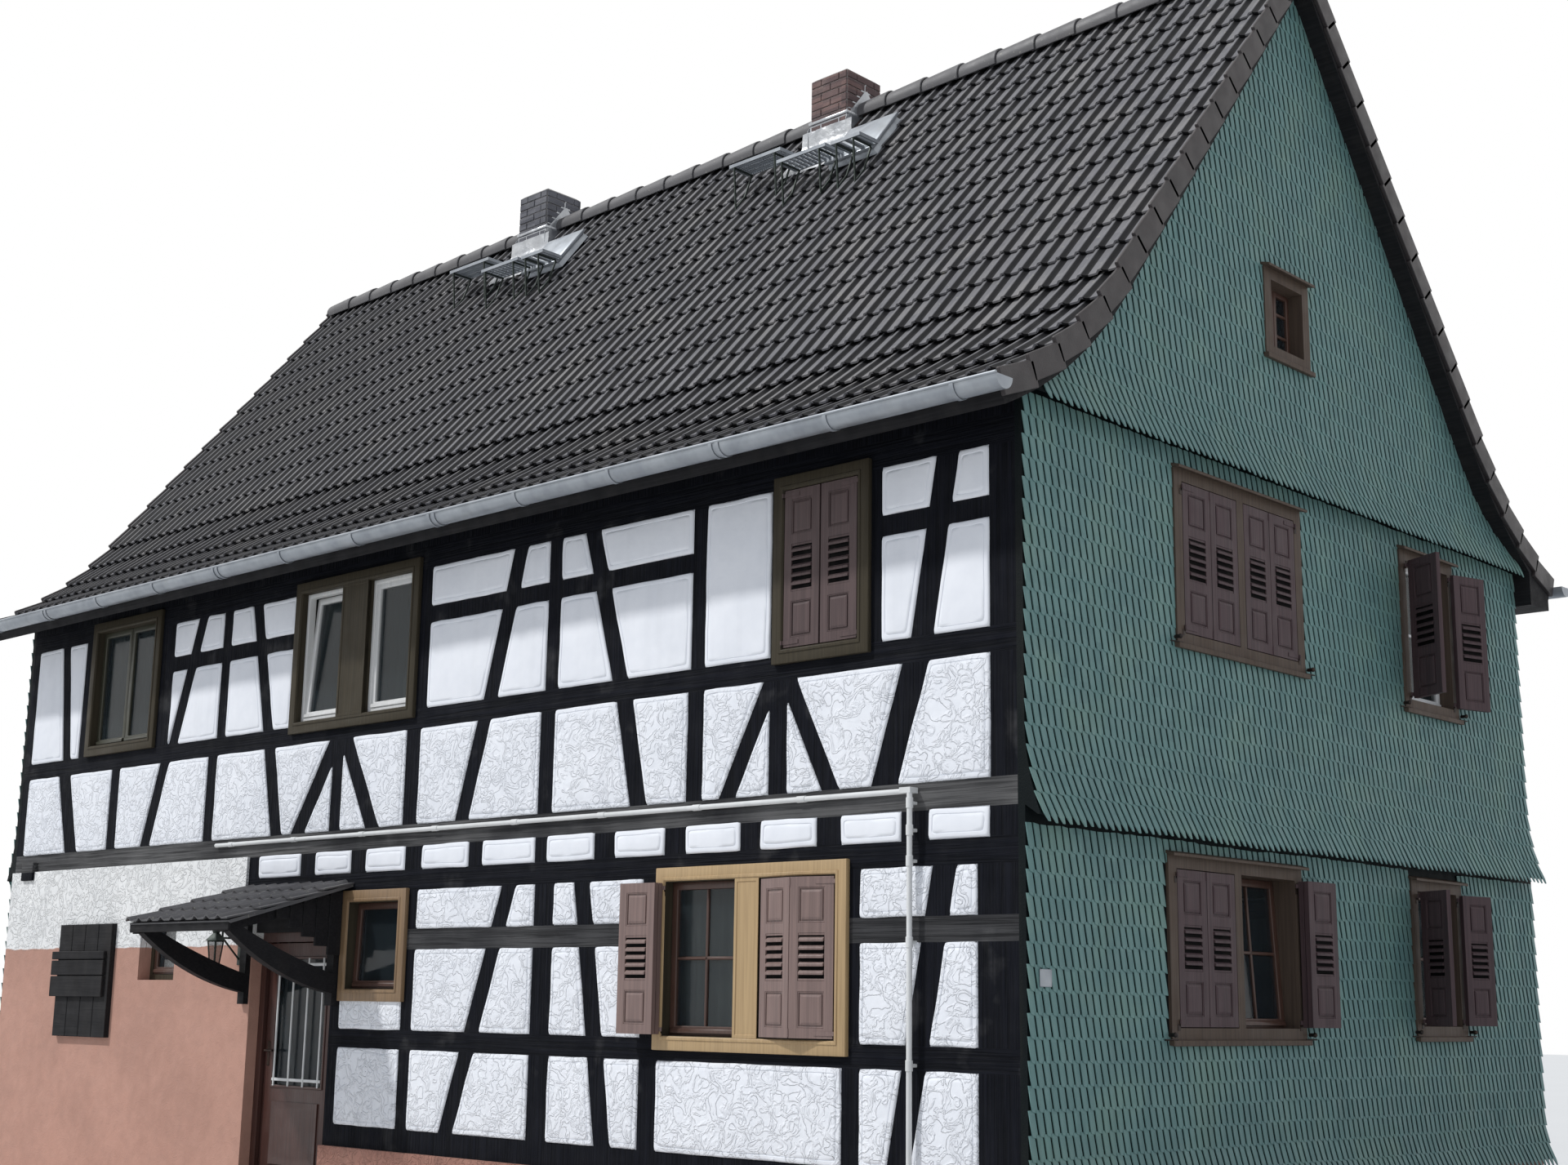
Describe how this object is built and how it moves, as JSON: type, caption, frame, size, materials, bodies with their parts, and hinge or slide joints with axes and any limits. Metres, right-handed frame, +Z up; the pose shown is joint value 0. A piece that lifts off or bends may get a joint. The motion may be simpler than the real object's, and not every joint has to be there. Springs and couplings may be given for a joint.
{
  "type": "half timbered house",
  "caption": "Half timbered house with a shingled gable, hinged shutters, a canopied door and a steep tiled roof with a swept foot.",
  "frame": {"origin": "on the ground, under the middle of the bounding box of the whole house", "axes": "+X along the street front to the shingled gable that the picture shows, +Y from the street front to the rear, +Z up"},
  "size_m": [12.6946, 8.356, 9.7202],
  "materials": {
    "timber": "weathered near-black stain",
    "plaster": "rough white lime plaster",
    "render": "white rough render over a red-brown base band",
    "dark_board": "dark stained boards",
    "plinth_render": "terracotta-coloured smooth render",
    "step_stone": "worn stone",
    "floor_stone": "plain stone floor",
    "floor_board": "plain boards",
    "inner_plaster": "plain plaster",
    "shingle": "muted green painted shingles",
    "roof_tile": "dark grey-brown clay pantiles",
    "zinc": "dull weathered zinc",
    "brick": "weathered brick",
    "casing": "olive-brown to ochre paint",
    "gable_casing": "brown paint",
    "sash": "white paint",
    "pane": "clear",
    "door_wood": "red-brown paint",
    "hinge_iron": "dark paint over iron",
    "lamp_metal": "black paint",
    "white_plastic": "white",
    "shutter": "mauve-brown paint"
  },
  "bodies": {
    "house": {"attic_floor": "floor_board", "canopy_brackets": "dark_board", "canopy_tiles": "roof_tile", "chimney_collars": "zinc", "chimneys": "brick", "door_frame": "door_wood", "door_header": "dark_board", "door_step": "step_stone", "front_ground_frame": "timber", "front_infill": "plaster", "front_masonry": "render", "front_upper_frame": "timber", "front_window_frames": "casing", "gable_folding_shutters": "shutter", "gable_shingles_attic": "shingle", "gable_shingles_ground": "shingle", "gable_shingles_upper": "shingle", "gable_walls_attic": "inner_plaster", "gable_walls_ground": "inner_plaster", "gable_walls_upper": "inner_plaster", "gable_window_frames": "gable_casing", "ground_floor": "floor_stone", "gutters": "zinc", "hinge_pintles": "hinge_iron", "joist_band": "timber", "lantern": "lamp_metal", "plank_hatch": "dark_board", "plinth_ends": "plinth_render", "plinth_sides": "plinth_render", "rear_eaves_box": "dark_board", "rear_frame": "timber", "rear_infill": "plaster", "rear_window_frames": "casing", "ridge_tiles": "roof_tile", "roof_boarding": "dark_board", "roof_hatches": "zinc", "roof_tiles_front": "roof_tile", "roof_tiles_rear": "roof_tile", "roof_walkways": "zinc", "street_folding_shutters": "shutter", "upper_floor": "floor_board", "verge_tiles": "roof_tile", "wall_pipe": "white_plastic", "window_glass": "pane", "window_sashes": "sash"},
    "street_shutter_left": {"street_shutter_left": "shutter"},
    "street_shutter_right": {"street_shutter_right": "shutter"},
    "upper_shutter_left": {"upper_shutter_left": "shutter"},
    "upper_shutter_right": {"upper_shutter_right": "shutter"},
    "lower_shutter_left": {"lower_shutter_left": "shutter"},
    "lower_shutter_right": {"lower_shutter_right": "shutter"},
    "door_leaf": {"door_leaf": "door_wood"}
  },
  "joints": [
    {"name": "street_shutter_left_hinge", "type": "hinge", "parent": "house", "child": "street_shutter_left", "pos_m": [4.10766, -3.114, 4.33], "axis": [0, 0, -1], "range_deg": [0, 165]},
    {"name": "street_shutter_right_hinge", "type": "hinge", "parent": "house", "child": "street_shutter_right", "pos_m": [4.74766, -3.114, 4.33], "axis": [0, 0, 1], "range_deg": [0, 165]},
    {"name": "upper_shutter_left_hinge", "type": "hinge", "parent": "house", "child": "upper_shutter_left", "pos_m": [6.02266, 1.667, 4.4], "axis": [0, 0, -1], "range_deg": [-117, 48]},
    {"name": "upper_shutter_right_hinge", "type": "hinge", "parent": "house", "child": "upper_shutter_right", "pos_m": [6.02266, 2.367, 4.4], "axis": [0, 0, 1], "range_deg": [-163, 7]},
    {"name": "lower_shutter_left_hinge", "type": "hinge", "parent": "house", "child": "lower_shutter_left", "pos_m": [6.02266, 1.607, 2.03], "axis": [0, 0, -1], "range_deg": [-117, 53]},
    {"name": "lower_shutter_right_hinge", "type": "hinge", "parent": "house", "child": "lower_shutter_right", "pos_m": [6.02266, 2.237, 2.03], "axis": [0, 0, 1], "range_deg": [-163, 7]},
    {"name": "door_hinge", "type": "hinge", "parent": "house", "child": "door_leaf", "pos_m": [-0.74934, -2.92, 1.1], "axis": [0, 0, -1], "range_deg": [0, 95]}
  ]
}
